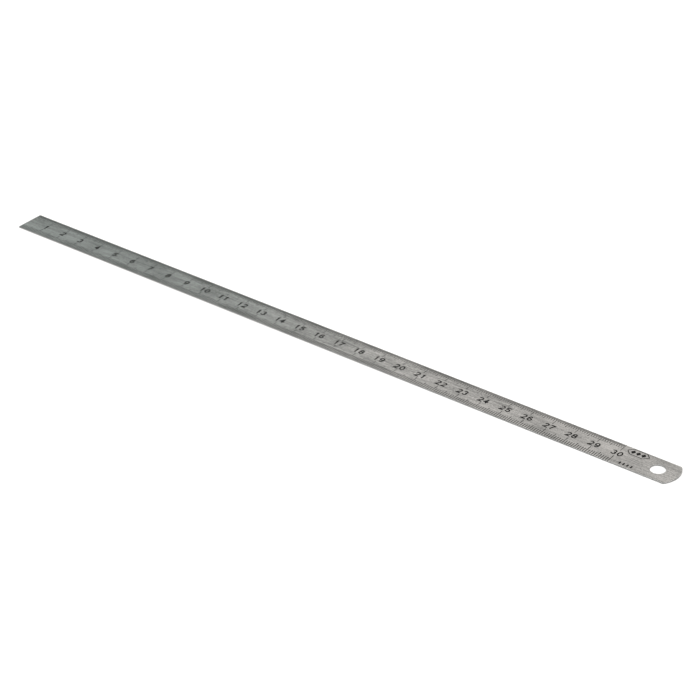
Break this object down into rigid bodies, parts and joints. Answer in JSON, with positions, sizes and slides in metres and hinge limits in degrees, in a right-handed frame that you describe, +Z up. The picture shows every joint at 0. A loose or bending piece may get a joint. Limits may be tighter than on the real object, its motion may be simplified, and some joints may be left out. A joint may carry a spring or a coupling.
{
  "type": "steel ruler",
  "caption": "Thin flexible stainless steel rule with etched, black-filled millimetre and half-millimetre scales, numerals and a hang hole in its round tail.",
  "frame": {"origin": "middle of the square zero end, on the underside: x = 0 is the zero of both scales, y = 0 the centreline, z = 0 the underside", "axes": "+X along the rule from the zero end to the round tail, +Y across it from the millimetre edge to the half-millimetre edge, +Z up out of the graduated face"},
  "size_m": [0.3262, 0.013, 0.0005],
  "materials": {
    "stainless_steel": "satin, brushed lengthwise",
    "black_enamel": "satin black fill in the etched marks"
  },
  "bodies": {
    "root": {"blade": "stainless_steel", "numeral_1_units": "black_enamel", "numeral_2_units": "black_enamel", "numeral_3_units": "black_enamel", "numeral_4_units": "black_enamel", "numeral_5_units": "black_enamel", "numeral_6_units": "black_enamel", "numeral_7_units": "black_enamel", "numeral_8_units": "black_enamel", "numeral_9_units": "black_enamel", "numeral_10_tens": "black_enamel", "numeral_10_units": "black_enamel", "numeral_11_tens": "black_enamel", "numeral_11_units": "black_enamel", "numeral_12_tens": "black_enamel", "numeral_12_units": "black_enamel", "numeral_13_tens": "black_enamel", "numeral_13_units": "black_enamel", "numeral_14_tens": "black_enamel", "numeral_14_units": "black_enamel", "numeral_15_tens": "black_enamel", "numeral_15_units": "black_enamel", "numeral_16_tens": "black_enamel", "numeral_16_units": "black_enamel", "numeral_17_tens": "black_enamel", "numeral_17_units": "black_enamel", "numeral_18_tens": "black_enamel", "numeral_18_units": "black_enamel", "numeral_19_tens": "black_enamel", "numeral_19_units": "black_enamel", "numeral_20_tens": "black_enamel", "numeral_20_units": "black_enamel", "numeral_21_tens": "black_enamel", "numeral_21_units": "black_enamel", "numeral_22_tens": "black_enamel", "numeral_22_units": "black_enamel", "numeral_23_tens": "black_enamel", "numeral_23_units": "black_enamel", "numeral_24_tens": "black_enamel", "numeral_24_units": "black_enamel", "numeral_25_tens": "black_enamel", "numeral_25_units": "black_enamel", "numeral_26_tens": "black_enamel", "numeral_26_units": "black_enamel", "numeral_27_tens": "black_enamel", "numeral_27_units": "black_enamel", "numeral_28_tens": "black_enamel", "numeral_28_units": "black_enamel", "numeral_29_tens": "black_enamel", "numeral_29_units": "black_enamel", "numeral_30_tens": "black_enamel", "numeral_30_units": "black_enamel", "mark_frame": "black_enamel", "mark_lozenge_1": "black_enamel", "mark_lozenge_2": "black_enamel", "mark_lozenge_3": "black_enamel", "batch_bar_1": "black_enamel", "batch_bar_2": "black_enamel", "batch_bar_3": "black_enamel", "batch_bar_4": "black_enamel"}
  },
  "joints": []
}
